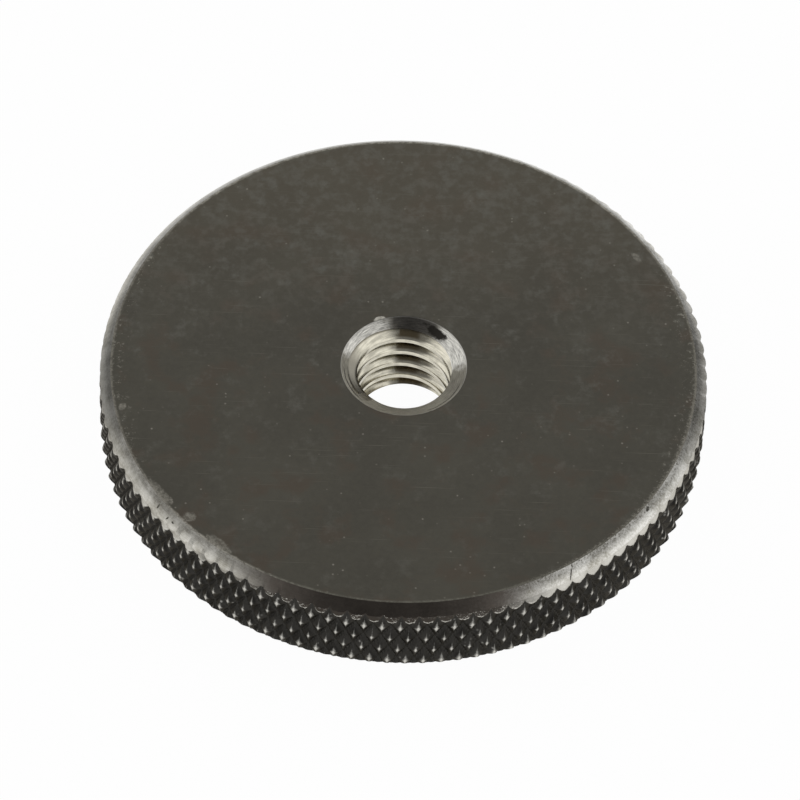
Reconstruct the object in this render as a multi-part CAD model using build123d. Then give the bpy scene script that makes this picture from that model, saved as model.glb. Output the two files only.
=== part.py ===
from build123d import *
import math
import os

# Solid thread ring gauge: a hardened steel disc, turned from bar, diamond-knurled on its rim,
# chamfered, and bored and threaded right through, with a lead-in countersink on both faces.
#
# Frame: millimetres. The origin is the centre of the bottom face, where the ring lies on a
# table, and +Z is the axis of the thread.

# --- driving dimensions ---------------------------------------------------------------------

# disc
ring_diameter = 32.0            # over the points of the knurl
ring_thickness = 5.0
top_chamfer = 0.6               # leg of the 45 degree chamfer on the upper rim
bottom_chamfer = 0.5            # and on the lower rim

# thread, ISO metric
thread_diameter = 6.0           # nominal, M6
thread_pitch = 1.0
thread_angle = 60.0             # included angle of the thread's flanks

# lead-in countersinks
top_countersink_diameter = 6.66     # where it meets the upper face
bottom_countersink_diameter = 6.05  # and the lower face
countersink_angle = 120.0           # included, of both

# diamond knurl
knurl_pitch = 0.93              # from diamond to diamond, round the rim
knurl_angle = 27.4              # of each groove against the axis
knurl_depth = 0.3               # from the points down to where grooves cross
knurl_first_row = 0.5           # from the top face down to the first row of points

# --- worked out from them -------------------------------------------------------------------

ring_radius = ring_diameter / 2
top_face_radius = ring_radius - top_chamfer
bottom_face_radius = ring_radius - bottom_chamfer

thread_height = thread_pitch / 2 / math.tan(math.radians(thread_angle / 2))
bore_radius = thread_diameter / 2 - 5 / 8 * thread_height
countersink_slope = math.tan(math.radians(countersink_angle / 2))
top_countersink_radius = top_countersink_diameter / 2
top_countersink_depth = (top_countersink_radius - bore_radius) / countersink_slope
bottom_countersink_radius = bottom_countersink_diameter / 2
bottom_countersink_depth = (bottom_countersink_radius - bore_radius) / countersink_slope

knurl_columns = round(math.pi * ring_diameter / knurl_pitch)
knurl_half_pitch = math.pi * ring_radius / knurl_columns
knurl_row_height = knurl_half_pitch / math.tan(math.radians(knurl_angle))
knurl_root_radius = ring_radius - knurl_depth


def turned_blank():
    """The disc as it leaves the lathe, with its rim left full for the knurl.

    The chamfers run on outwards past the points of the knurl, so that the knurl
    alone shapes the rim.
    """
    full_radius = ring_radius + knurl_depth
    half_section = Polyline(
        (bottom_countersink_radius, 0),
        (bottom_face_radius, 0),
        (full_radius, full_radius - bottom_face_radius),
        (full_radius, ring_thickness - full_radius + top_face_radius),
        (top_face_radius, ring_thickness),
        (top_countersink_radius, ring_thickness),
        (bore_radius, ring_thickness - top_countersink_depth),
        (bore_radius, bottom_countersink_depth),
        close=True,
    )
    return revolve(Plane.XZ * make_face(half_section), axis=Axis.Z)


def knurl_node(column, row):
    """A corner of the knurl's net, where half columns count round and rows count down.

    Corners are points of the diamonds and crossings of the grooves by turns.
    """
    is_point = (column + row) % 2 == 0
    radius = ring_radius if is_point else knurl_root_radius
    angle = column * math.pi / knurl_columns
    height = ring_thickness - knurl_first_row - row * knurl_row_height
    return Vector(radius * math.cos(angle), radius * math.sin(angle), height)


def knurl_facets(column, row):
    """The two flat flanks of one cell of the net, which meet along its groove."""
    upper_left = knurl_node(column, row)
    upper_right = knurl_node(column + 1, row)
    lower_right = knurl_node(column + 1, row + 1)
    lower_left = knurl_node(column, row + 1)
    if (column + row) % 2 == 0:
        corners = [(upper_left, lower_left, upper_right), (lower_right, upper_right, lower_left)]
    else:
        corners = [(upper_right, upper_left, lower_right), (lower_left, lower_right, upper_left)]
    return [Face(Wire.make_polygon(facet)) for facet in corners]


def knurled_bar():
    """A bar with the diamond knurl all round, longer than the ring is thick."""
    half_columns = range(2 * knurl_columns)
    top_row = -math.ceil(knurl_first_row / knurl_row_height)
    if top_row * knurl_row_height + knurl_first_row >= 0:
        top_row -= 1
    bottom_row = math.ceil((ring_thickness - knurl_first_row) / knurl_row_height) + 1
    faces = []
    for row in range(top_row, bottom_row):
        for column in half_columns:
            faces += knurl_facets(column, row)
    for row in (top_row, bottom_row):
        outline = [knurl_node(column, row) for column in half_columns]
        faces.append(Face(Wire.make_polygon(outline)))
    return Solid(Shell(faces))


ring = knurled_bar() & turned_blank()

os.makedirs("parts", exist_ok=True)
export_step(ring, "parts/ring.step")
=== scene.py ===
import math
from collections import namedtuple

import bpy
from mathutils import Matrix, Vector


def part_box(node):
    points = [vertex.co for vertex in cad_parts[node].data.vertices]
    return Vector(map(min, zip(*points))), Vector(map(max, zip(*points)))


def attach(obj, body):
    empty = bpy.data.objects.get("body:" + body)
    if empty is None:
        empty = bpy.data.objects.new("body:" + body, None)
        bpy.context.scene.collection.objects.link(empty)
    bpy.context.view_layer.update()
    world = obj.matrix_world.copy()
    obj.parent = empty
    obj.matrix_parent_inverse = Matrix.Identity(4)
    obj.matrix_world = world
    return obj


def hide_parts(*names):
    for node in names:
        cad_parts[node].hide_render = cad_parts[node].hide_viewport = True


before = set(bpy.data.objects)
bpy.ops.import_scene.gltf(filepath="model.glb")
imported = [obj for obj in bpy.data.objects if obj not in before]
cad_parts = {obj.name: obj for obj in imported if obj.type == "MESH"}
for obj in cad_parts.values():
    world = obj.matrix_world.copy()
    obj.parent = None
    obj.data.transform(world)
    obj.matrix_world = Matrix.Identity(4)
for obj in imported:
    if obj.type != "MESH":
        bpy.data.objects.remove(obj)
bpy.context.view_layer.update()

bl_info = {
    "name": "Thread ring gauge",
    "version": (1, 0, 0),
    "blender": (4, 5, 0),
    "location": "3D View > Sidebar > Ring gauge",
    "description": "Builds a knurled, threaded steel ring gauge and the table it is shown on",
    "category": "Add Mesh",
}

MM = 0.001
RING_NODE = "ring"
ring_low, ring_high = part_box(RING_NODE)

# Short names of the kinds of node that the finishes are mostly made of. A RAMP goes smoothly
# from 0 to 1, or between two levels, while a value goes from a start to an end. A TONE is one
# colour or another, and all between, by a factor. NOISE has lumps from 0 to 1, and its scale is
# one over their size. Any other name in capitals is what a Math node does.
KINDS = {
    "RAMP": ("ShaderNodeMapRange", {"interpolation_type": "SMOOTHSTEP"}),
    "TONE": ("ShaderNodeMix", {"data_type": "RGBA"}),
    "NOISE": ("ShaderNodeTexNoise", {}),
}

# Numbers that mark a face's finish, in the order of the materials, after 0 for the flat faces
# and 1 for the chamfers.
KNURL, THREAD, LEAD_IN = 2, 3, 4

FRONT = 0.75                    # turns from +X to the front, where the knurl's phases start
WELD = 0.0005 * MM              # points of the mesh nearer than this are one
OVERRUN = 0.4 * MM              # from the points of the knurl out to the blank's own rim
BORE_MARGIN = 0.2 * MM          # from the thread's crests in to the blank's own bore
THREAD_DEPTH = 5 / 8 * math.cos(math.radians(30))   # of the basic ISO profile, in pitches
ROUNDING = 0.04 * MM            # how far the points of the knurl are rounded off
CREASE = math.radians(33)       # edges that bend more than this stay sharp


def linear(hex_colour):
    """An sRGB hex colour, such as "8A8780", as linear red, green and blue."""
    channels = [int(hex_colour[i : i + 2], 16) / 255 for i in (0, 2, 4)]
    return tuple(c / 12.92 if c <= 0.04045 else ((c + 0.055) / 1.055) ** 2.4 for c in channels)


def feed(node, inputs):
    """Links or fills the inputs of a node, given by name, or in order without those not in use.

    A node given as an input stands for its first output in use, and a colour needs no alpha.
    """
    in_use = [socket for socket in node.inputs if socket.enabled]
    pairs = inputs.items() if isinstance(inputs, dict) else enumerate(inputs)
    for key, value in pairs:
        socket = node.inputs[key] if isinstance(key, str) else in_use[key]
        if isinstance(value, bpy.types.Node):
            value = next(output for output in value.outputs if output.enabled)
        if isinstance(value, bpy.types.NodeSocket):
            node.id_data.links.new(value, socket)
        elif socket.type == "RGBA":
            socket.default_value = (*value, 1)
        else:
            socket.default_value = value


def add(tree, kind, inputs=(), **settings):
    """Adds a node with its settings, then links or fills its inputs."""
    if kind in KINDS:
        kind, usual = KINDS[kind]
        settings = {**usual, **settings}
    elif kind.isupper():
        kind, settings = "ShaderNodeMath", {"operation": kind}
    node = tree.nodes.new(kind)
    for name, value in settings.items():
        setattr(node, name, value)
    feed(node, inputs)
    return node


# --- sizes and colours a user would change ------------------------------------------------------

def length(name, description, default):
    """A length property, in metres."""
    return bpy.props.FloatProperty(
        name=name, description=description, default=default, min=0.0, unit="LENGTH", precision=6
    )


def swatch(name, description, hex_colour):
    """A colour property whose default is an sRGB hex colour."""
    return bpy.props.FloatVectorProperty(
        name=name,
        description=description,
        default=linear(hex_colour),
        min=0.0,
        max=1.0,
        size=3,
        subtype="COLOR",
    )


class GAUGE_PG_ring(bpy.types.PropertyGroup):
    """Sizes of the turned disc and of its thread"""

    thickness: length("Thickness", "From face to face", ring_high.z - ring_low.z)
    radius: length("Radius", "Over the points of the knurl", (ring_high.x - ring_low.x) / 2)
    chamfer: length("Top chamfer", "Leg of the 45 degree chamfer on the upper rim", 0.6 * MM)
    under_chamfer: length("Bottom chamfer", "Leg of the 45 degree chamfer below", 0.5 * MM)
    edge: length("Edge break", "Radius of the turned edges", 0.04 * MM)
    thread_radius: length("Thread radius", "Half the nominal diameter, M6", 3.0 * MM)
    pitch: length("Thread pitch", "Coarse pitch of M6", 1.0 * MM)
    countersink: length("Top countersink radius", "Where it meets the upper face", 3.33 * MM)
    under_countersink: length(
        "Bottom countersink radius", "Where it meets the lower face", 2.88 * MM
    )
    countersink_angle: bpy.props.FloatProperty(
        name="Countersink angle",
        description="Included angle of the lead-in",
        default=math.radians(120),
        subtype="ANGLE",
    )
    thread_start: bpy.props.FloatProperty(
        name="Thread start",
        description="Turn at which a crest meets the middle of the ring",
        default=0.77,
    )


class GAUGE_PG_knurl(bpy.types.PropertyGroup):
    """Sizes of the diamond knurl"""

    rising: bpy.props.IntProperty(
        name="Rising grooves", description="Grooves that rise to the left", default=106, min=3
    )
    falling: bpy.props.IntProperty(
        name="Falling grooves", description="Grooves that fall to the left", default=109, min=3
    )
    row_height: length("Row height", "From a row of points to the next", 0.9251 * MM)
    drift: bpy.props.FloatProperty(
        name="Drift",
        description="Half columns that the net moves sideways in a metre of height",
        default=-116.9,
    )
    column_phase: bpy.props.FloatProperty(
        name="Column phase", description="Half columns from the front", default=1.1988
    )
    row_phase: bpy.props.FloatProperty(
        name="Row phase", description="Rows from the top face at the front", default=0.4262
    )
    depth: length("Depth", "From the points down to where grooves cross", 0.25 * MM)
    land: length("Land", "How far the turned shoulder lies under the points", 0.07 * MM)
    runout: length("Run-out", "Height over which the grooves fade under the chamfer", 1.05 * MM)
    uneven: bpy.props.FloatProperty(
        name="Uneven run-out",
        description="Share of the depth that grooves keep at the chamfer, where they keep most",
        default=1.0,
        min=0.0,
        max=1.0,
        subtype="FACTOR",
    )
    uneven_side: bpy.props.FloatProperty(
        name="Uneven side",
        description="Angle from +X of one of the sides where grooves run on into the chamfer",
        default=math.radians(45),
        subtype="ANGLE",
    )
    ragged: length("Raggedness", "How far wear moves the surface in and out", 0.03 * MM)
    divisions: bpy.props.IntProperty(
        name="Divisions", description="Mesh steps from ridge to ridge", default=7, min=2
    )


class GAUGE_PG_finish(bpy.types.PropertyGroup):
    """Colours of the steel and of the table"""

    oxide: swatch("Oxide", "Fine-turned face under its black oxide", "44423C")
    oxide_light: swatch("Light oxide", "The same face where the oxide is thin", "4B4942")
    # Painted shade: the brown-black of the chamfer at the front, where it faces the dark side of
    # the room.
    brown: swatch("Brown front shade", "Painted shade on the chamfer at the front", "4C4742")
    knurl: swatch("Knurl", "Flanks of the knurl", "2A2927")
    stained: swatch("Stained steel", "Steel rubbed bare and stained", "6E6B62")
    bare: swatch("Bare steel", "Steel rubbed bare and bright", "CECCC5")
    thread: swatch("Cut steel", "Flanks of the thread", "DDD8C7")
    # Painted shade for the roots of the thread and, lighter, for its far flanks.
    thread_shade: swatch("Thread shade", "Painted shade in the roots of the thread", "4A4335")
    table: swatch("Table", "Board that the gauge lies on", "E6E6E6")


# --- shape of the ring --------------------------------------------------------------------------

# Names of the tree's inputs, and of the properties that fill them.
SIZES = (
    ("Thickness", "thickness"),
    ("Radius", "radius"),
    ("Chamfer", "chamfer"),
    ("Edge", "edge"),
    ("Thread Radius", "thread_radius"),
    ("Pitch", "pitch"),
    ("Thread Start", "thread_start"),
    ("Countersink", "countersink"),
    ("Row Height", "row_height"),
    ("Drift", "drift"),
    ("Column Phase", "column_phase"),
    ("Row Phase", "row_phase"),
    ("Depth", "depth"),
    ("Land", "land"),
    ("Runout", "runout"),
    ("Uneven", "uneven"),
    ("Uneven Side", "uneven_side"),
    ("Ragged", "ragged"),
)
COUNTS = (
    ("Rising Grooves", "rising"),
    ("Falling Grooves", "falling"),
    ("Divisions", "divisions"),
)


def section(ring):
    """Corners of the disc's half section, as radius and height, left full for the knurl."""
    full = ring.radius + OVERRUN
    face = ring.radius - ring.chamfer
    under = ring.radius - ring.under_chamfer
    bore = ring.thread_radius - THREAD_DEPTH * ring.pitch - BORE_MARGIN
    slope = math.tan(ring.countersink_angle / 2)
    depth = (ring.countersink - bore) / slope
    under_depth = (ring.under_countersink - bore) / slope
    top = ring.thickness
    return [
        (ring.under_countersink, 0),
        (under, 0),
        (full, full - under),
        (full, top - full + face),
        (face, top),
        (ring.countersink, top),
        (bore, top - depth),
        (bore, under_depth),
    ]


def section_mesh(corners):
    """The section as a closed loop of edges, which the tree then revolves."""
    mesh = bpy.data.meshes.new("section")
    loop = [(i, (i + 1) % len(corners)) for i in range(len(corners))]
    mesh.from_pydata([(r, z, 0) for r, z in corners], loop, [])
    return mesh


def on_cylinder(tree, radius, turns, height):
    """A point from its radius, its turns round the axis and its height."""
    angle = add(tree, "MULTIPLY", (turns, math.tau))
    cosine = add(tree, "COSINE", (angle,))
    sine = add(tree, "SINE", (angle,))
    x = add(tree, "MULTIPLY", (radius, cosine))
    y = add(tree, "MULTIPLY", (radius, sine))
    return add(tree, "ShaderNodeCombineXYZ", (x, y, height))


def close_ends(tree, skin, middle):
    """Draws both open ends of an upright skin in to a point on the axis, which makes it solid."""
    merged = add(tree, "GeometryNodeMergeByDistance", {"Geometry": skin, "Distance": WELD})
    faces = add(tree, "GeometryNodeInputMeshEdgeNeighbors")
    rim = add(tree, "FunctionNodeCompare", (faces, 1), data_type="INT", operation="EQUAL")
    ends = add(
        tree,
        "GeometryNodeExtrudeMesh",
        {"Mesh": merged, "Selection": rim, "Offset Scale": 0.0},
        mode="EDGES",
    )
    place = add(tree, "GeometryNodeInputPosition")
    height = add(tree, "ShaderNodeSeparateXYZ", (place,)).outputs["Z"]
    side = add(tree, "SUBTRACT", (height, middle))
    side = add(tree, "SIGN", (side,))
    apex_height = 12 * MM   # well past the ring's faces
    apex = add(tree, "MULTIPLY_ADD", (side, apex_height, middle))
    apex = add(tree, "ShaderNodeCombineXYZ", (0.0, 0.0, apex))
    drawn = add(
        tree,
        "GeometryNodeSetPosition",
        {"Geometry": ends, "Selection": ends.outputs["Top"], "Position": apex},
    )
    return add(tree, "GeometryNodeMergeByDistance", {"Geometry": drawn, "Distance": WELD})


def knurled_bar(tree, inputs):
    """A bar with the diamond knurl all round, taller than the ring.

    The net counts half columns round and rows down, and its points and groove crossings
    take turns. It leans and drifts, as a rolled knurl does where two wheels differ a little.
    """
    rising = inputs["Rising Grooves"]
    falling = inputs["Falling Grooves"]
    columns = add(tree, "ADD", (rising, falling))
    lean = add(tree, "SUBTRACT", (rising, falling))
    divisions = inputs["Divisions"]
    rows = 14.0         # enough to reach past both faces
    rows_above = 4.0    # of them over the top one
    crowding = 0.72     # how far mesh lines gather at the ridges, from 0 to 1
    across = add(tree, "MULTIPLY", (columns, divisions))
    across = add(tree, "ADD", (across, 1.0))
    down = add(tree, "MULTIPLY_ADD", (divisions, rows, 1.0))
    grid = add(tree, "GeometryNodeMeshGrid", (columns, rows, across, down))
    place = add(tree, "GeometryNodeInputPosition")
    plane = add(tree, "ShaderNodeSeparateXYZ", (place,))
    half = add(tree, "MULTIPLY", (columns, 0.5))
    start = add(tree, "FRACT", (half,))
    column = add(tree, "ADD", (plane.outputs["X"], start))
    row = add(tree, "ADD", (plane.outputs["Y"], rows / 2 - rows_above))

    warped = []
    for count in (column, row):
        wave = add(tree, "MULTIPLY", (count, math.tau))
        wave = add(tree, "SINE", (wave,))
        warped.append(add(tree, "MULTIPLY_ADD", (wave, -crowding / math.tau, count)))
    column, row = warped

    c = add(tree, "SUBTRACT", (column, inputs["Column Phase"]))
    r = add(tree, "SUBTRACT", (row, inputs["Row Phase"]))
    rate = add(tree, "DIVIDE", (-1.0, inputs["Row Height"]))
    drift = inputs["Drift"]
    first = add(tree, "MULTIPLY", (columns, rate))
    second = add(tree, "MULTIPLY", (drift, lean))
    scale = add(tree, "SUBTRACT", (first, second))
    first = add(tree, "MULTIPLY", (rate, c))
    second = add(tree, "MULTIPLY", (drift, r))
    turns = add(tree, "SUBTRACT", (first, second))
    turns = add(tree, "DIVIDE", (turns, scale))
    first = add(tree, "MULTIPLY", (columns, r))
    second = add(tree, "MULTIPLY", (lean, c))
    below = add(tree, "SUBTRACT", (first, second))
    below = add(tree, "DIVIDE", (below, scale))

    offsets = []
    for sign in (1.0, -1.0):
        groove = add(tree, "MULTIPLY_ADD", (row, sign, column))
        groove = add(tree, "MULTIPLY", (groove, 0.5))
        nearest = add(tree, "ADD", (groove, 0.5))
        nearest = add(tree, "FLOOR", (nearest,))
        offset = add(tree, "SUBTRACT", (groove, nearest))
        offsets.append(add(tree, "ABSOLUTE", (offset,)))
    middle = add(tree, "MULTIPLY", (inputs["Thickness"], 0.5))
    depth_down = add(tree, "MULTIPLY", (below, -1.0))
    chamfer_end = add(tree, "SUBTRACT", (inputs["Chamfer"], inputs["Land"]))
    fade_end = add(tree, "ADD", (chamfer_end, inputs["Runout"]))
    fade = add(tree, "ShaderNodeMapRange", (depth_down, chamfer_end, fade_end, 1.0, 0.0))

    # Diamonds have straight sides down the rim, and round ones where they run out at the top.
    softness = 0.2  # of the diamonds' corners, in half columns
    straight = add(tree, "SMOOTH_MAX", (*offsets, softness))
    square = add(tree, "MULTIPLY", (offsets[0], offsets[0]))
    square = add(tree, "MULTIPLY_ADD", (offsets[1], offsets[1], square))
    square = add(tree, "MULTIPLY", (square, 0.5))
    rounded = add(tree, "SQRT", (square,))
    share = add(tree, "ShaderNodeMapRange", (fade, 0.1, 0.6, 0.0, 1.0))
    depth_in_cell = add(tree, "ShaderNodeMix", (share, straight, rounded))
    fall = add(tree, "MULTIPLY", (depth_in_cell, 2.0))
    hollow = 1.5    # 1 would make the flanks flat
    fall = add(tree, "POWER", (fall, hollow))
    height_in_cell = add(tree, "SUBTRACT", (1.0, fall))

    turns = add(tree, "ADD", (turns, FRONT))
    height = add(tree, "ADD", (below, inputs["Thickness"]))
    side = add(tree, "MULTIPLY", (turns, math.tau))
    side = add(tree, "SUBTRACT", (side, inputs["Uneven Side"]))

    # Grooves run on into the chamfer on two opposite sides, further on the first of them.
    once = add(tree, "COSINE", (side,))
    once = add(tree, "MULTIPLY_ADD", (once, 0.2, 0.8))
    twice = add(tree, "MULTIPLY", (side, 2.0))
    twice = add(tree, "COSINE", (twice,))
    twice = add(tree, "MULTIPLY_ADD", (twice, 0.5, 0.5))
    kept = add(tree, "MULTIPLY", (once, twice))
    kept = add(tree, "MULTIPLY", (kept, inputs["Uneven"]))
    lost = add(tree, "SUBTRACT", (1.0, kept))
    lost = add(tree, "MULTIPLY", (lost, fade))

    land = add(tree, "SUBTRACT", (inputs["Radius"], inputs["Land"]))
    peak = add(tree, "ADD", (inputs["Radius"], ROUNDING))
    root = add(tree, "SUBTRACT", (inputs["Radius"], inputs["Depth"]))
    rise = add(tree, "SUBTRACT", (land, root))
    root = add(tree, "MULTIPLY_ADD", (rise, lost, root))
    reach = add(tree, "SUBTRACT", (peak, root))
    radius = add(tree, "MULTIPLY_ADD", (reach, height_in_cell, root))
    smooth = on_cylinder(tree, inputs["Radius"], turns, height)
    wear = add(tree, "NOISE", (smooth, 1 / (0.8 * MM)))
    wear = add(tree, "SUBTRACT", (wear, 0.5))
    radius = add(tree, "MULTIPLY_ADD", (wear, inputs["Ragged"], radius))
    sink = add(tree, "MULTIPLY", (inputs["Land"], lost))
    tip = add(tree, "SUBTRACT", (inputs["Radius"], sink))
    radius = add(tree, "SMOOTH_MIN", (radius, tip, ROUNDING))

    point = on_cylinder(tree, radius, turns, height)
    skin = add(tree, "GeometryNodeSetPosition", {"Geometry": grid, "Position": point})
    flipped = add(tree, "GeometryNodeFlipFaces", {"Mesh": skin})
    return close_ends(tree, flipped, middle)


def turned_blank(tree, inputs):
    """The section, with its edges broken, revolved about the axis."""
    steps = 3       # of the mesh in a broken edge
    around = 540    # and round the ring
    loop = add(tree, "GeometryNodeMeshToCurve", {"Mesh": inputs["Geometry"]})
    broken = add(
        tree,
        "GeometryNodeFilletCurve",
        {"Curve": loop, "Radius": inputs["Edge"], "Count": steps, "Limit Radius": True},
        mode="POLY",
    )
    middle = add(tree, "MULTIPLY", (inputs["Radius"], 0.5))
    inward = add(tree, "MULTIPLY", (middle, -1.0))
    move = add(tree, "ShaderNodeCombineXYZ", (inward, 0.0, 0.0))
    profile = add(
        tree,
        "GeometryNodeTransform",
        {"Geometry": broken, "Translation": move, "Scale": (1.0, -1.0, 1.0)},
    )
    path = add(tree, "GeometryNodeCurvePrimitiveCircle", {"Resolution": around, "Radius": middle})
    skin = add(tree, "GeometryNodeCurveToMesh", {"Curve": path, "Profile Curve": profile})
    return add(tree, "GeometryNodeFlipFaces", {"Mesh": skin})


def thread_plug(tree, inputs):
    """The space inside the thread: a right-hand screw with the basic ISO profile."""
    around = 96         # steps of the mesh in a turn
    per_pitch = 16      # and in a pitch
    turns_tall = 9      # more than the ring holds
    flat = 0.16         # half the width of a crest, in pitches
    flank = 5 / 16      # and the width of a flank
    size = (1.0, float(turns_tall), around + 1, turns_tall * per_pitch + 1)
    grid = add(tree, "GeometryNodeMeshGrid", size)
    place = add(tree, "GeometryNodeInputPosition")
    plane = add(tree, "ShaderNodeSeparateXYZ", (place,))
    turn = add(tree, "ADD", (plane.outputs["X"], 0.5))
    phase = add(tree, "ADD", (plane.outputs["Y"], 0.5))
    whole = add(tree, "ADD", (phase, 0.5))
    whole = add(tree, "FLOOR", (whole,))
    from_crest = add(tree, "SUBTRACT", (phase, whole))
    from_crest = add(tree, "ABSOLUTE", (from_crest,))
    major = inputs["Thread Radius"]
    minor = add(tree, "MULTIPLY_ADD", (inputs["Pitch"], -THREAD_DEPTH, major))
    radius = add(tree, "ShaderNodeMapRange", (from_crest, flat, flat + flank, minor, major))
    climb = add(tree, "ADD", (phase, turn))
    climb = add(tree, "SUBTRACT", (climb, inputs["Thread Start"]))
    half = add(tree, "MULTIPLY", (inputs["Thickness"], 0.5))
    height = add(tree, "MULTIPLY_ADD", (climb, inputs["Pitch"], half))
    point = on_cylinder(tree, radius, turn, height)
    skin = add(tree, "GeometryNodeSetPosition", {"Geometry": grid, "Position": point})
    return close_ends(tree, skin, half)


def finish_number(tree, mesh, value):
    """Marks every face with the number of its finish, which lasts through the cuts."""
    return add(
        tree,
        "GeometryNodeStoreNamedAttribute",
        {"Geometry": mesh, "Name": "finish", "Value": value},
        data_type="INT",
        domain="FACE",
    )


def ring_tree(materials):
    """The tree that makes the ring: a knurled bar, cut to the turned blank, less the thread."""
    tree = bpy.data.node_groups.new("Thread ring gauge", "GeometryNodeTree")
    sockets = tree.interface
    sockets.new_socket("Geometry", in_out="INPUT", socket_type="NodeSocketGeometry")
    for name, _ in SIZES:
        sockets.new_socket(name, in_out="INPUT", socket_type="NodeSocketFloat")
    for name, _ in COUNTS:
        sockets.new_socket(name, in_out="INPUT", socket_type="NodeSocketInt")
    sockets.new_socket("Geometry", in_out="OUTPUT", socket_type="NodeSocketGeometry")
    inputs = tree.nodes.new("NodeGroupInput").outputs

    bar = finish_number(tree, knurled_bar(tree, inputs), KNURL)
    blank = turned_blank(tree, inputs)
    place = add(tree, "GeometryNodeInputPosition")
    plane = add(tree, "ShaderNodeVectorMath", (place, (1.0, 1.0, 0.0)), operation="MULTIPLY")
    from_axis = add(tree, "ShaderNodeVectorMath", (plane,), operation="LENGTH")
    shoulder = add(tree, "SUBTRACT", (inputs["Radius"], inputs["Chamfer"]))
    on_chamfer = add(tree, "GREATER_THAN", (from_axis, shoulder))
    tolerance = 0.02 * MM
    lead_in = add(tree, "SUBTRACT", (inputs["Countersink"], tolerance))
    on_lead_in = add(tree, "LESS_THAN", (from_axis, lead_in))
    # The test for a chamfer already gives 0 or 1.
    number = add(tree, "MULTIPLY_ADD", (on_lead_in, float(LEAD_IN), on_chamfer))
    blank = finish_number(tree, blank, number)
    plug = finish_number(tree, thread_plug(tree, inputs), THREAD)

    boolean = "GeometryNodeMeshBoolean"
    body = add(tree, boolean, {"Mesh 2": bar}, operation="INTERSECT", solver="MANIFOLD")
    feed(body, {"Mesh 2": blank})
    cut = add(
        tree, boolean, {"Mesh 1": body, "Mesh 2": plug}, operation="DIFFERENCE", solver="MANIFOLD"
    )

    smooth = add(
        tree,
        "GeometryNodeSetShadeSmooth",
        {"Geometry": cut, "Shade Smooth": True},
        domain="FACE",
    )
    bend = add(tree, "GeometryNodeInputMeshEdgeAngle").outputs["Unsigned Angle"]
    crease = add(tree, "GREATER_THAN", (bend, CREASE))
    shaded = add(
        tree,
        "GeometryNodeSetShadeSmooth",
        {"Geometry": smooth, "Selection": crease, "Shade Smooth": False},
        domain="EDGE",
    )
    made = add(tree, "GeometryNodeRealizeInstances", {"Geometry": shaded})
    number = add(tree, "GeometryNodeInputNamedAttribute", {"Name": "finish"}, data_type="INT")
    for index, material in enumerate(materials):
        chosen = add(
            tree, "FunctionNodeCompare", (number, index), data_type="INT", operation="EQUAL"
        )
        made = add(
            tree,
            "GeometryNodeSetMaterial",
            {"Geometry": made, "Selection": chosen, "Material": material},
        )
    add(tree, "NodeGroupOutput", (made,))
    return tree


# --- finishes -----------------------------------------------------------------------------------

def principled(name):
    """A new material, its tree and its shader."""
    material = bpy.data.materials.new(name)
    material.use_nodes = True
    return material, material.node_tree, material.node_tree.nodes["Principled BSDF"]


Place = namedtuple("Place", "where x y z radius")


def places(tree):
    """Object coordinates, their x, y and z, and the distance from the axis."""
    where = add(tree, "ShaderNodeTexCoord").outputs["Object"]
    x, y, z = add(tree, "ShaderNodeSeparateXYZ", (where,)).outputs
    square = add(tree, "MULTIPLY", (x, x))
    square = add(tree, "MULTIPLY_ADD", (y, y, square))
    return Place(where, x, y, z, add(tree, "SQRT", (square,)))


def facing(tree, at, degrees):
    """Cosine of the angle round the axis between the point and a fixed side of the ring."""
    side = math.radians(degrees)
    across = add(tree, "MULTIPLY", (at.x, math.cos(side)))
    across = add(tree, "MULTIPLY_ADD", (at.y, math.sin(side), across))
    return add(tree, "DIVIDE", (across, at.radius))


def drawn_round(tree, at, along, around, across, reach):
    """Coordinates in which noise draws out into marks round the axis.

    The marks are about around long, and across wide as along goes, on a circle of radius reach.
    A point's direction goes in as x and y, so that the marks close up all round.
    """
    parts = []
    for value in (at.x, at.y):
        value = add(tree, "DIVIDE", (value, at.radius))
        parts.append(add(tree, "MULTIPLY", (value, reach / around)))
    parts.append(add(tree, "MULTIPLY", (along, 1 / across)))
    return add(tree, "ShaderNodeCombineXYZ", parts)


def lumps(tree, where, size, levels, detail=2.0, roughness=0.5):
    """Noise in lumps about size across, 0 below the first of two levels and 1 above the second.

    Two more levels, where given, take the place of the 0 and the 1.
    """
    noise = add(tree, "NOISE", (where, 1 / size, detail, roughness))
    return add(tree, "RAMP", (noise, *levels))


def spots(tree, where, size, share, sharp):
    """Round spots about size across, in a share of the cells, some faint and some full."""
    cells = add(tree, "ShaderNodeTexVoronoi", {"Vector": where, "Scale": 1 / size / 2.5})
    pick = add(tree, "ShaderNodeSeparateColor", (cells.outputs["Color"],)).outputs["Red"]
    full = add(tree, "RAMP", (pick, share, share * 0.3))
    near = add(tree, "RAMP", (cells.outputs["Distance"], 0.2 + sharp * 0.2, 0.2 - sharp * 0.2))
    return add(tree, "MULTIPLY", (full, near))


def product(tree, *factors):
    """All the factors multiplied together."""
    result = factors[0]
    for factor in factors[1:]:
        result = add(tree, "MULTIPLY", (result, factor))
    return result


def patch(tree, where, ragged, middle, long, wide, turn):
    """An oval patch with a ragged outline, 1 inside and 0 outside, at a place given in mm."""
    near = add(
        tree,
        "ShaderNodeMapping",
        {
            "Vector": where,
            "Location": (middle[0] * MM, middle[1] * MM, 0.0),
            "Rotation": (0.0, 0.0, turn),
            "Scale": (long * MM, wide * MM, 1000.0),
        },
        vector_type="TEXTURE",
    )
    far = add(tree, "ShaderNodeVectorMath", (near,), operation="LENGTH")
    edge = add(tree, "MULTIPLY_ADD", (ragged, 1.4, far))
    return add(tree, "RAMP", (edge, 1.75, 1.35))


def toned(colour, level):
    """A colour made darker, or lighter, by one level for its three channels."""
    return tuple(channel * level for channel in colour)


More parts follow.
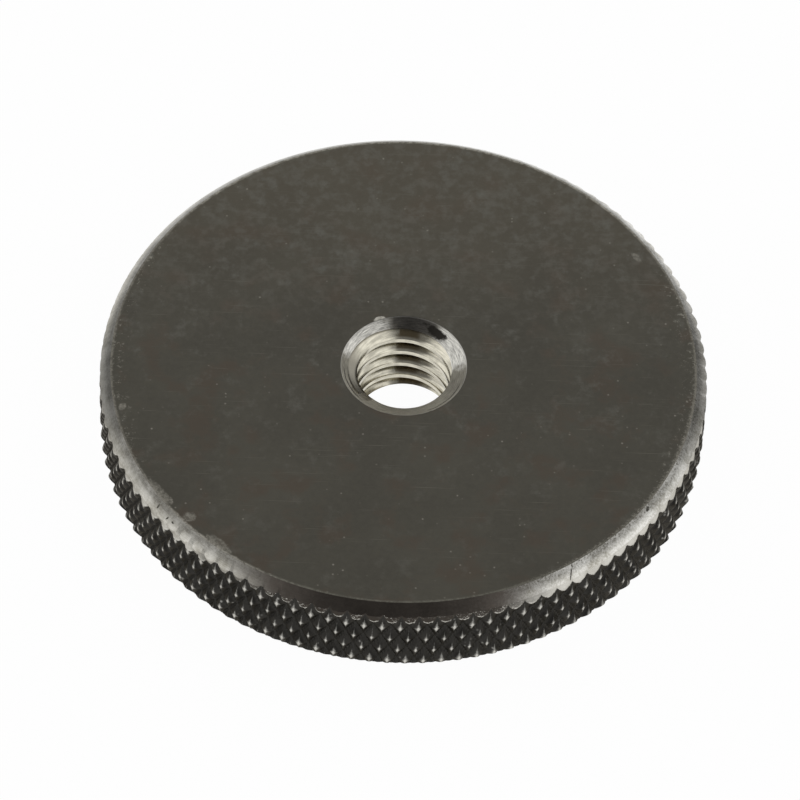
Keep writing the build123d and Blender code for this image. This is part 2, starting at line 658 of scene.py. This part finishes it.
def coated(tree, colour, coats):
    """The colour under coats of others, each a share from 0 to 1 and a colour or its hex."""
    for share, coat in coats:
        coat = linear(coat) if isinstance(coat, str) else coat
        colour = add(tree, "TONE", (share, colour, coat))
    return colour


def rubbed_steel(tree, finish, at):
    """Colour, height and share of painted front shade of a shoulder rubbed through to bare steel.

    It is scratched round the rim on the left, pitted and crystalline on the right, and duller
    towards the face. Painted shade makes it brown-black at the front.
    """
    slope = add(tree, "SUBTRACT", (at.radius, at.z))
    marks = drawn_round(tree, at, slope, 0.8 * MM, 0.045 * MM, 16 * MM)
    streaks = lumps(tree, marks, 1.0, (0.34, 0.66), 4.0, 0.7)
    grit = lumps(tree, at.where, 0.14 * MM, (0.36, 0.64), 4.0, 0.8)
    patches = add(tree, "NOISE", (at.where, 1 / (1.3 * MM), 3.0, 0.6))
    right = add(tree, "RAMP", (at.x, -4 * MM, 6 * MM, 0.5, 1.0))
    texture = add(tree, "ShaderNodeMix", (right, streaks, grit))
    coarse = add(tree, "RAMP", (patches, 0.35, 0.65))
    texture = add(tree, "ShaderNodeMix", (0.5, texture, coarse))
    low = add(tree, "RAMP", (at.radius, 15.5 * MM, 15.93 * MM))
    upper = add(tree, "TONE", (texture, toned(finish.stained, 0.75), toned(finish.bare, 0.72)))
    lower = add(tree, "TONE", (texture, toned(finish.stained, 2.2), toned(finish.bare, 1.3)))
    bare = add(tree, "TONE", (low, upper, lower))
    turned = []
    for degrees, out in ((186, 0.955), (2, 0.9)):
        turned.append(add(tree, "RAMP", (facing(tree, at, degrees), out, 1.0)))
    turned = add(tree, "MAXIMUM", turned)

    # Painted light and shade: levels that multiply the colour's channels, more, and bluer, on the
    # right, and half where the shoulder turns away from the light.
    lit = add(tree, "RAMP", (at.x, -4 * MM, 8 * MM))
    lit = add(tree, "TONE", (lit, (0.92, 0.92, 0.92), (1.16, 1.17, 1.2)))
    shade = add(tree, "TONE", (turned, lit, (0.5, 0.5, 0.5)))
    bare = add(tree, "TONE", (1.0, bare, shade), blend_type="MULTIPLY")

    flecks = lumps(tree, at.where, 0.11 * MM, (0.54, 0.64), 3.0, 0.8)
    inner = add(tree, "RAMP", (at.radius, 15.8 * MM, 15.45 * MM))
    sided = add(tree, "RAMP", (at.x, -8 * MM, 5 * MM, 0.4, 1.0))
    flecks = product(tree, flecks, inner, sided)
    bare = add(tree, "TONE", (flecks, bare, linear("4A463C")))
    # Painted shade: the shoulder turns brown-black at the front, where it faces the dark side of
    # the room.
    front = facing(tree, at, 268)
    edge = add(tree, "MULTIPLY_ADD", (patches, 0.10, front))
    oxide = add(tree, "RAMP", (edge, 0.87, 1.0))
    black = add(tree, "TONE", (texture, toned(finish.brown, 0.85), toned(finish.brown, 1.3)))
    return add(tree, "TONE", (oxide, bare, black)), texture, oxide


def metal(shader, colour, roughness, height, strength, depth):
    """Fills a metal's shader: its colour, its roughness and its fine relief of some depth."""
    relief = {"Strength": strength, "Distance": depth, "Height": height}
    bump = add(shader.id_data, "ShaderNodeBump", relief)
    feed(shader, {"Base Color": colour, "Metallic": 1.0, "Roughness": roughness, "Normal": bump})


# Hairline scratches on the face: turn in radians, length and width in mm.
SCRATCHES = ((0.3, 5.0, 0.05), (1.9, 3.5, 0.05), (1.25, 6.0, 0.04))

# Smears on the face, then pits in the chamfer: middle, half length and half width in mm, and
# turn in radians.
SMEARS = (
    ((-12.55, -8.7), 0.75, 0.35, 2.2),
    ((-12.0, -9.3), 0.45, 0.3, 2.3),
    ((-10.75, -10.4), 0.4, 0.35, 0.0),
    ((-9.2, -12.0), 0.9, 0.3, -0.7),
    ((-14.6, -3.4), 0.3, 0.2, 1.2),
    ((-14.2, -6.6), 0.3, 0.15, 1.2),
    ((12.2, 7.9), 0.35, 0.2, -0.9),
)
PITS = (
    ((-12.4, -9.6), 0.12, 0.06, 0.8),
    ((-11.9, -10.3), 0.1, 0.05, 0.2),
    ((-11.6, -10.6), 0.12, 0.05, 2.4),
    ((12.85, -8.75), 0.18, 0.09, 1.2),
    ((8.95, -12.9), 0.5, 0.04, 1.5),
)


def face_steel(finish):
    """Black-oxide steel, fine-turned: a satin near-black with a green-brown cast.

    It gives the eye an even, soft sheen, clouded by thin oxide and by smears, broken by pale
    dust-like specks and a few hairline scratches, and worn to a bare line at its edge.
    """
    material, tree, shader = principled("black-oxide steel, fine-turned")
    at = places(tree)
    cloud = add(tree, "NOISE", (at.where, 1 / (5.0 * MM), 3.0))
    grit = add(tree, "NOISE", (at.where, 1 / (0.3 * MM), 3.0, 0.7))
    mixed = add(tree, "MULTIPLY_ADD", (grit, 0.6, cloud))
    thin = add(tree, "RAMP", (mixed, 0.5, 1.1))
    tint = lumps(tree, at.where, 2.4 * MM, (0.5, 0.66, 0.0, 0.5), 4.0, 0.6)
    # Painted sheen: lighter towards the back.
    far_sheen = add(tree, "RAMP", (at.y, 0.0, 14 * MM, 0.0, 0.5))
    blots = lumps(tree, at.where, 1.1 * MM, (0.52, 0.78, 0.0, 0.8), 4.0, 0.7)
    blots = product(tree, blots, add(tree, "RAMP", (at.y, -12 * MM, 6 * MM, 0.45, 1.0)))

    # Hairline scratches, a speckle on the far half, and dust.
    scratched = 0.0
    for turn, long, wide in SCRATCHES:
        size = (1 / (long * MM), 1 / (wide * MM), 1)
        along = {"Vector": at.where, "Rotation": (0, 0, turn), "Scale": size}
        along = add(tree, "ShaderNodeMapping", along)
        line = lumps(tree, along, 1.0, (0.72, 0.8), 1.0)
        scratched = add(tree, "MAXIMUM", (scratched, line))
    speckle = lumps(tree, at.where, 0.6 * MM, (0.42, 0.72), 3.0, 0.6)
    speckle = product(tree, speckle, add(tree, "RAMP", (at.y, -2 * MM, 12 * MM, 0.0, 0.45)))
    gathered = lumps(tree, at.where, 3.0 * MM, (0.4, 0.6))
    dust = product(tree, spots(tree, at.where, 0.1 * MM, 0.08, 0.6), gathered)

    # Smears, and a burr at the hole, with ragged outlines.
    ragged = add(tree, "NOISE", (at.where, 1 / (0.35 * MM), 4.0, 0.7))
    broken = lumps(tree, at.where, 0.25 * MM, (0.4, 0.62, 0.25, 1.0), 5.0, 0.8)
    smears = []
    for middle, long, wide, turn in SMEARS:
        smear = patch(tree, at.where, ragged, middle, long, wide, turn)
        smears.append((product(tree, smear, broken), "75726A"))
    burr = patch(tree, at.where, ragged, (-1.36, 3.06), 0.34, 0.2, 0.45)
    burr = product(tree, burr, add(tree, "RAMP", (broken, 0.0, 1.0, 0.5, 1.0)))

    # Wear near the rim on both sides, and frost at the near right.
    sides = add(tree, "ABSOLUTE", (at.x,))
    sides = add(tree, "RAMP", (sides, 11.5 * MM, 14.5 * MM))
    band = add(tree, "RAMP", (at.radius, 14.3 * MM, 15.2 * MM))
    worn = lumps(tree, at.where, 0.22 * MM, (0.56, 0.68), 4.0, 0.8)
    worn = product(tree, worn, band, sides, add(tree, "RAMP", (cloud, 0.4, 0.6, 0.35, 1.0)))
    frost = lumps(tree, at.where, 0.12 * MM, (0.49, 0.6), 4.0, 0.8)
    frost = product(tree, frost, add(tree, "RAMP", (at.radius, 15.1 * MM, 15.42 * MM)))
    frost = product(tree, frost, add(tree, "RAMP", (facing(tree, at, 330), 0.75, 0.95)))

    # The line at the edge, worn bare, which painted shade makes duller in front and on both sides.
    edge = add(tree, "MULTIPLY_ADD", (ragged, 0.2 * MM, at.radius))
    edge = add(tree, "RAMP", (edge, 15.34 * MM, 15.47 * MM))
    front = add(tree, "RAMP", (facing(tree, at, 288), 0.55, 0.85))
    right = add(tree, "RAMP", (at.x, 11 * MM, 14.5 * MM))
    left = add(tree, "RAMP", (at.x, -10 * MM, -14 * MM))
    edge = product(tree, edge, add(tree, "RAMP", (broken, 0.2, 0.8, 0.35, 1.0)))
    line = ((front, "615F57"), (right, "6F6C64"), (left, "6F6C64"))
    line = coated(tree, linear("8E8B82"), line)

    coats = (
        (thin, finish.oxide_light),
        (tint, "4A4139"),
        (far_sheen, "544F45"),
        (blots, "5A5953"),
        (scratched, "5B5951"),
        (speckle, "5F5E58"),
        (dust, "737068"),
        *smears,
        (burr, "A9A69D"),
        (worn, "8A877E"),
        (frost, "8A877E"),
        (edge, line),
    )
    colour = coated(tree, finish.oxide, coats)
    metal(shader, colour, 0.42, grit, 0.15, 0.01 * MM)
    return material


def shoulder_steel(finish):
    """Black-oxide steel rubbed bare on the chamfers: pale, with fine scratches and pits."""
    material, tree, shader = principled("black-oxide steel, rubbed bare")
    at = places(tree)
    colour, height, _ = rubbed_steel(tree, finish, at)
    pits = []
    ragged = add(tree, "NOISE", (at.where, 1 / (0.3 * MM), 3.0, 0.7))
    for middle, long, wide, turn in PITS:
        pit = patch(tree, at.where, ragged, middle, long, wide, turn)
        pit = product(tree, pit, add(tree, "RAMP", (ragged, 0.3, 0.55)))
        pits.append((pit, "3B3933"))
    colour = coated(tree, colour, pits)
    metal(shader, colour, 0.32, height, 0.25, 0.008 * MM)
    return material


def knurled_steel(ring, knurl, finish):
    """Black-oxide steel, rolled: black flanks, and points and ridges worn bare, with painted
    highlights.

    It gives the eye a dark rim with row upon row of small bright stars, worn bare and shaped as
    painted highlights, and pale lobes where the diamonds run out under the chamfer, with painted
    light on their sides and painted shade at the front.
    """
    material, tree, shader = principled("black-oxide steel, knurled")
    at = places(tree)
    angle = add(tree, "ARCTAN2", (at.y, at.x))
    turns = add(tree, "DIVIDE", (angle, math.tau))
    front = add(tree, "SUBTRACT", (turns, FRONT))
    below = add(tree, "SUBTRACT", (at.z, ring.thickness))
    rate = -1 / knurl.row_height
    offsets = []
    for count, sign in ((knurl.rising, 1), (knurl.falling, -1)):
        slope = (knurl.drift + sign * rate) / 2
        phase = (knurl.column_phase + sign * knurl.row_phase) / 2
        groove = add(tree, "MULTIPLY_ADD", (front, float(count), phase))
        groove = add(tree, "MULTIPLY_ADD", (below, slope, groove))
        nearest = add(tree, "ROUND", (groove,))
        offsets.append(add(tree, "SUBTRACT", (groove, nearest)))
    sideways = add(tree, "ADD", offsets)
    sideways = add(tree, "ABSOLUTE", (sideways,))
    down = add(tree, "SUBTRACT", offsets)
    point = add(tree, "MULTIPLY_ADD", (down, knurl.row_height, below))
    down = add(tree, "SUBTRACT", (down, 0.03))
    level = add(tree, "ABSOLUTE", (down,))
    ragged = add(tree, "NOISE", (at.where, 1 / (0.12 * MM)))
    under = add(tree, "RAMP", (below, -1.7 * MM, -2.1 * MM, 0.0, 0.22))
    above = add(tree, "RAMP", (below, -4.0 * MM, -3.6 * MM, 0.0, 0.22))
    less = add(tree, "MINIMUM", (under, above))
    less = add(tree, "MULTIPLY_ADD", (ragged, 0.7, less))

    # The bare point in the middle of a star, then its four arms, of which the upper is longest:
    # oxide worn off, with the shape and size of painted highlights.
    core = add(tree, "MULTIPLY", (sideways, 1 / 0.24))
    core = add(tree, "MULTIPLY_ADD", (level, 1 / 0.27, core))
    core = add(tree, "ADD", (less, core))
    core = add(tree, "RAMP", (core, 1.55, 0.85))
    falling = add(tree, "MULTIPLY", (down, 1 / 0.5))
    rising = add(tree, "MULTIPLY", (down, -1 / 0.7))
    upright = add(tree, "MAXIMUM", (falling, rising))
    upright = add(tree, "POWER", (upright, 0.7))
    aside = add(tree, "MULTIPLY", (sideways, 1 / 0.42))
    aside = add(tree, "POWER", (aside, 0.7))
    arms = add(tree, "ADD", (upright, aside))
    arms = add(tree, "ADD", (less, arms))
    arms = add(tree, "RAMP", (arms, 1.5, 0.95, 0.0, 0.45))
    worn = add(tree, "MAXIMUM", (core, arms))

    # Where a diamond's point lies under the shoulder, it is cut to a smooth lobe.
    bowed = add(tree, "MULTIPLY", (sideways, sideways))
    bowed = add(tree, "MULTIPLY_ADD", (bowed, -0.35 * MM, below))
    bowed = add(tree, "MULTIPLY_ADD", (ragged, 0.16 * MM, bowed))
    torn = add(tree, "NOISE", (at.where, 1 / (0.06 * MM)))
    torn = product(tree, torn, add(tree, "RAMP", (at.x, 0.0, -8 * MM, 0.0, 0.25 * MM)))
    bowed = add(tree, "SUBTRACT", (bowed, torn))
    of_lobe = add(tree, "RAMP", (point, -1.18 * MM, -1.14 * MM))
    land = product(tree, of_lobe, add(tree, "RAMP", (bowed, -1.08 * MM, -1.0 * MM)))
    ridge = add(tree, "RAMP", (bowed, -0.86 * MM, -0.98 * MM))
    nicked = add(tree, "RAMP", (ragged, 0.36, 0.5))
    lip = product(tree, land, ridge, nicked, add(tree, "RAMP", (sideways, 0.6, 0.45)))

    rubbed, _, oxide = rubbed_steel(tree, finish, at)
    # Painted light and shade on the lobes: lighter where they face the left-front and the
    # right-front, lightest on the right, and brown-black at the front.
    left = add(tree, "RAMP", (facing(tree, at, 232), 0.6, 0.9))
    right = add(tree, "RAMP", (facing(tree, at, 318), 0.5, 0.8))
    smooth = add(tree, "TONE", (left, toned(finish.stained, 0.7), toned(finish.bare, 0.8)))
    smooth = add(tree, "TONE", (right, smooth, toned(finish.bare, 1.2)))
    side_light_share = add(tree, "RAMP", (at.x, -4 * MM, 4 * MM, 0.2, 0.65))
    smooth = add(tree, "TONE", (side_light_share, rubbed, smooth))
    smooth = add(tree, "TONE", (oxide, smooth, toned(finish.brown, 0.75)))

    cloud = add(tree, "NOISE", (at.where, 1 / (1.2 * MM)))
    # Flecks on the lobes, only where the painted front shade is.
    flecks = lumps(tree, at.where, 0.1 * MM, (0.55, 0.63, 0.0, 0.75), 3.0, 0.8)
    flecks = product(tree, flecks, land, oxide, add(tree, "RAMP", (cloud, 0.42, 0.56)))
    lip = add(tree, "MAXIMUM", (lip, flecks))
    mottled = add(tree, "NOISE", (at.where, 1 / (0.18 * MM), 3.0, 0.7))
    mottled = add(tree, "MULTIPLY_ADD", (mottled, 0.6, cloud))
    mottled = add(tree, "RAMP", (mottled, 0.6, 1.0))
    black = add(tree, "TONE", (mottled, toned(finish.knurl, 0.8), toned(finish.knurl, 1.9)))
    nicks = spots(tree, at.where, 0.12 * MM, 0.2, 0.8)
    nicks = product(tree, nicks, add(tree, "RAMP", (cloud, 0.42, 0.52)))
    black = add(tree, "TONE", (nicks, black, toned(finish.bare, 0.55)))
    # Painted light: the flanks are lighter towards the grooves, which lifts the shade in them.
    groove_fill_light = [add(tree, "ABSOLUTE", (offset,)) for offset in offsets]
    groove_fill_light = add(tree, "MAXIMUM", groove_fill_light)
    groove_fill_light = add(tree, "RAMP", (groove_fill_light, 0.25, 0.5))
    black = add(tree, "TONE", (groove_fill_light, black, toned(finish.knurl, 1.9)))
    coats = ((worn, finish.bare), (land, smooth), (lip, toned(finish.bare, 1.1)))
    colour = coated(tree, black, coats)
    metal(shader, colour, 0.45, ragged, 0.3, 0.01 * MM)
    feed(shader, {"Specular Tint": linear("CBC8C2")})
    return material


def thread_steel(finish):
    """Bright cut steel, ivory in a white room, with fine marks along the thread."""
    material, tree, shader = principled("bright steel, threaded")
    at = places(tree)
    marks = drawn_round(tree, at, at.z, 1.2 * MM, 0.05 * MM, 3 * MM)
    streaks = add(tree, "NOISE", (marks, 1.0))
    patches = add(tree, "NOISE", (at.where, 1 / (0.5 * MM)))
    mixed = add(tree, "MULTIPLY_ADD", (patches, 0.7, streaks))
    bright = add(tree, "RAMP", (mixed, 0.6, 1.1))
    # Painted shade in the roots of the thread.
    root_shade = add(tree, "RAMP", (at.radius, 2.8 * MM, 2.98 * MM))
    # Painted shade: darker on the flanks in the middle of the far wall.
    uneven = add(tree, "MULTIPLY_ADD", (patches, 1.0 * MM, at.x))
    start = add(tree, "RAMP", (uneven, 0.0, 0.3 * MM))
    end = add(tree, "RAMP", (uneven, 2.1 * MM, 0.9 * MM))
    far = add(tree, "RAMP", (at.y, 0.0, 1 * MM))
    crest = add(tree, "RAMP", (at.radius, 2.5 * MM, 2.62 * MM))
    root = add(tree, "RAMP", (at.radius, 3.0 * MM, 2.85 * MM))
    far_flank_shade = product(tree, start, end, far, crest, root)
    mouth = add(tree, "RAMP", (at.z, 4.0 * MM, 4.4 * MM))
    mouth = product(tree, mouth, add(tree, "RAMP", (facing(tree, at, 215), 0.3, 0.75)))
    coats = (
        (bright, finish.thread),
        (root_shade, finish.thread_shade),
        (far_flank_shade, toned(finish.thread_shade, 2.6)),
        (mouth, toned(finish.stained, 1.6)),
    )
    colour = coated(tree, toned(finish.thread, 0.62), coats)
    metal(shader, colour, 0.2, mixed, 0.2, 0.008 * MM)
    return material


def lead_in_steel(finish):
    """Countersunk steel: scratched, painted highlights at both far sides, dull with oxide
    elsewhere.

    Its far middle is dark with painted shade, and the edge at its far right is torn and dark too.
    """
    material, tree, shader = principled("bright steel, countersunk")
    at = places(tree)
    slope = add(tree, "ADD", (at.radius, at.z))
    marks = drawn_round(tree, at, slope, 0.5 * MM, 0.04 * MM, 3 * MM)
    streaks = lumps(tree, marks, 1.0, (0.34, 0.66), 4.0, 0.7)
    ragged = add(tree, "NOISE", (at.where, 1 / (0.35 * MM), 3.0, 0.6))
    shift = add(tree, "MULTIPLY_ADD", (ragged, 0.16, -0.08))
    # Painted highlights of bare-steel colour at both far sides, and painted shade in the far
    # middle.
    sides = []
    for degrees, out, full in ((136, 0.8, 0.93), (30, 0.84, 0.95), (80, 0.88, 0.96)):
        side = add(tree, "ADD", (facing(tree, at, degrees), shift))
        sides.append(add(tree, "RAMP", (side, out, full)))
    bright = add(tree, "MAXIMUM", sides[:2])
    near = add(tree, "RAMP", (facing(tree, at, 262), 0.1, 0.9))
    dull = add(tree, "TONE", (streaks, toned(finish.stained, 0.75), toned(finish.stained, 1.5)))
    scraped = add(tree, "TONE", (streaks, toned(finish.stained, 1.7), toned(finish.stained, 3.8)))
    dull = add(tree, "TONE", (near, dull, scraped))
    bare = add(tree, "TONE", (streaks, toned(finish.bare, 0.4), toned(finish.bare, 1.2)))
    # Painted shade for the far middle.
    dark = add(tree, "TONE", (streaks, linear("403E3B"), linear("605D58")))
    torn = patch(tree, at.where, ragged, (1.65, 2.42), 0.85, 0.24, -0.72)
    rim = add(tree, "RAMP", (at.radius, 3.26 * MM, 3.31 * MM, 0.0, 0.6))
    groove = add(tree, "MULTIPLY_ADD", (ragged, 0.12 * MM, at.radius))
    groove = add(tree, "SUBTRACT", (groove, 3.2 * MM))
    groove = add(tree, "ABSOLUTE", (groove,))
    beside = []
    for degrees in (205, 318):
        beside.append(add(tree, "RAMP", (facing(tree, at, degrees), 0.9, 0.96)))
    beside = add(tree, "MAXIMUM", beside)
    groove = product(tree, add(tree, "RAMP", (groove, 0.035 * MM, 0.015 * MM)), beside)
    coats = (
        (bright, bare),
        (sides[2], dark),
        (torn, "2A2825"),
        (rim, toned(finish.bare, 0.45)),
        (groove, "3A3835"),
    )
    colour = coated(tree, dull, coats)
    metal(shader, colour, 0.28, streaks, 0.3, 0.01 * MM)
    return material


def studio_world(scene):
    """White all round, with a dark upright strip behind the camera, where a studio has no lamp."""
    world = bpy.data.worlds.new("studio")
    scene.world = world
    world.use_nodes = True
    tree = world.node_tree
    direction = add(tree, "ShaderNodeTexCoord").outputs["Generated"]
    x, y, z = add(tree, "ShaderNodeSeparateXYZ", (direction,)).outputs
    off = add(tree, "ADD", (x, 0.04))
    off = add(tree, "ABSOLUTE", (off,))
    beside = add(tree, "RAMP", (off, 0.34, 0.46))
    behind = add(tree, "RAMP", (y, 0.0, 0.3))
    bright = add(tree, "MAXIMUM", (beside, behind))
    level = add(tree, "RAMP", (bright, 0.0, 1.0, 0.2, 1.0))
    horizon = add(tree, "RAMP", (z, 0.05, 0.3, 0.12, 1.08))
    level = add(tree, "MULTIPLY", (level, horizon))
    feed(tree.nodes["Background"], {"Strength": level, "Color": linear("FFFFFF")})


class GAUGE_OT_ring(bpy.types.Operator):
    """Makes the ring: disc, knurl, chamfers, countersinks and thread"""

    bl_idname = "gauge.ring"
    bl_label = "Make the ring"

    def execute(self, context):
        ring = context.scene.gauge_ring
        knurl = context.scene.gauge_knurl
        finish = context.scene.gauge_finish
        materials = [
            face_steel(finish),
            shoulder_steel(finish),
            knurled_steel(ring, knurl, finish),
            thread_steel(finish),
            lead_in_steel(finish),
        ]
        tree = ring_tree(materials)
        source = bpy.data.objects.new("section", section_mesh(section(ring)))
        context.collection.objects.link(source)
        modifier = source.modifiers.new("Ring", "NODES")
        modifier.node_group = tree
        sockets = {}
        for item in tree.interface.items_tree:
            if item.in_out == "INPUT":
                sockets[item.name] = item.identifier
        for name, prop in (*SIZES, *COUNTS):
            owner = ring if hasattr(ring, prop) else knurl
            modifier[sockets[name]] = getattr(owner, prop)
        graph = context.evaluated_depsgraph_get()
        mesh = bpy.data.meshes.new_from_object(source.evaluated_get(graph), depsgraph=graph)
        bpy.data.objects.remove(source)
        mesh.name = "ring_gauge"
        mesh.materials.clear()
        for material in materials:
            mesh.materials.append(material)
        numbers = [face.value for face in mesh.attributes["finish"].data]
        mesh.polygons.foreach_set("material_index", numbers)
        piece = bpy.data.objects.new("ring_gauge", mesh)
        context.collection.objects.link(piece)
        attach(piece, "root")
        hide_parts(RING_NODE)
        return {"FINISHED"}


# The camera: focal length and width of its sensor in mm, its place in metres, and its axes.
LENS = 277.19
SENSOR = 36.0
CAMERA_PLACE = (0.0, -0.20025891, 0.25903513)
CAMERA_RIGHT = (0.99936196, 0.02842936, 0.02162053)
CAMERA_UP = (-0.03571413, 0.78828345, 0.61427494)
CAMERA_BACK = (0.00042033, -0.61465516, 0.78879582)


class GAUGE_OT_stage(bpy.types.Operator):
    """Makes the table, the white studio and the camera"""

    bl_idname = "gauge.stage"
    bl_label = "Make the table, light and camera"

    def execute(self, context):
        scene = context.scene
        mesh = bpy.data.meshes.new("table")
        half = 1.5      # of a side, far wider than the view
        corners = [(-half, -half, 0), (half, -half, 0), (half, half, 0), (-half, half, 0)]
        mesh.from_pydata(corners, [], [(0, 1, 2, 3)])
        floor = bpy.data.objects.new("table", mesh)
        context.collection.objects.link(floor)
        floor.data.materials.append(table_material(scene.gauge_finish))

        studio_world(scene)

        camera = bpy.data.cameras.new("camera")
        camera.lens = LENS
        camera.sensor_width = SENSOR
        camera.clip_start = 0.01
        camera.clip_end = 10.0
        holder = bpy.data.objects.new("camera", camera)
        context.collection.objects.link(holder)
        turn = Matrix((CAMERA_RIGHT, CAMERA_UP, CAMERA_BACK)).transposed().to_4x4()
        holder.matrix_world = Matrix.Translation(CAMERA_PLACE) @ turn
        scene.camera = holder
        scene.view_settings.view_transform = "Standard"
        return {"FINISHED"}


def table_material(finish):
    """Matt white board, which the camera and shiny surfaces see as plain white."""
    material, tree, shader = principled("matt white board")
    feed(shader, {"Base Color": finish.table, "Roughness": 0.9})
    path = add(tree, "ShaderNodeLightPath")
    seen = (path.outputs["Is Camera Ray"], path.outputs["Is Glossy Ray"])
    seen = add(tree, "MAXIMUM", seen)
    seen = add(tree, "MAXIMUM", (seen, path.outputs["Is Transmission Ray"]))
    whiteness = 0.975   # as a share of plain white
    seen = add(tree, "MULTIPLY", (seen, whiteness))
    glow = add(tree, "ShaderNodeEmission", {"Strength": 1.0})
    mix = add(tree, "ShaderNodeMixShader", (seen, shader, glow))
    feed(tree.nodes["Material Output"], {"Surface": mix})
    return material


class GAUGE_PT_panel(bpy.types.Panel):
    """Lists the sizes and the steps that make the gauge"""

    bl_idname = "GAUGE_PT_panel"
    bl_label = "Thread ring gauge"
    bl_space_type = "VIEW_3D"
    bl_region_type = "UI"
    bl_category = "Ring gauge"

    def draw(self, context):
        layout = self.layout
        scene = context.scene
        for group in (scene.gauge_ring, scene.gauge_knurl, scene.gauge_finish):
            box = layout.box()
            for name in group.__annotations__:
                box.prop(group, name)
        layout.operator(GAUGE_OT_ring.bl_idname)
        layout.operator(GAUGE_OT_stage.bl_idname)


CLASSES = (
    GAUGE_PG_ring,
    GAUGE_PG_knurl,
    GAUGE_PG_finish,
    GAUGE_OT_ring,
    GAUGE_OT_stage,
    GAUGE_PT_panel,
)


def register():
    """Adds the classes and the scene's properties."""
    for cls in CLASSES:
        bpy.utils.register_class(cls)
    bpy.types.Scene.gauge_ring = bpy.props.PointerProperty(type=GAUGE_PG_ring)
    bpy.types.Scene.gauge_knurl = bpy.props.PointerProperty(type=GAUGE_PG_knurl)
    bpy.types.Scene.gauge_finish = bpy.props.PointerProperty(type=GAUGE_PG_finish)


def unregister():
    """Takes them away again."""
    del bpy.types.Scene.gauge_ring
    del bpy.types.Scene.gauge_knurl
    del bpy.types.Scene.gauge_finish
    for cls in reversed(CLASSES):
        bpy.utils.unregister_class(cls)


def main():
    """Makes the ring and its stage."""
    register()
    bpy.ops.gauge.ring()
    bpy.ops.gauge.stage()


if __name__ == "__main__":
    main()
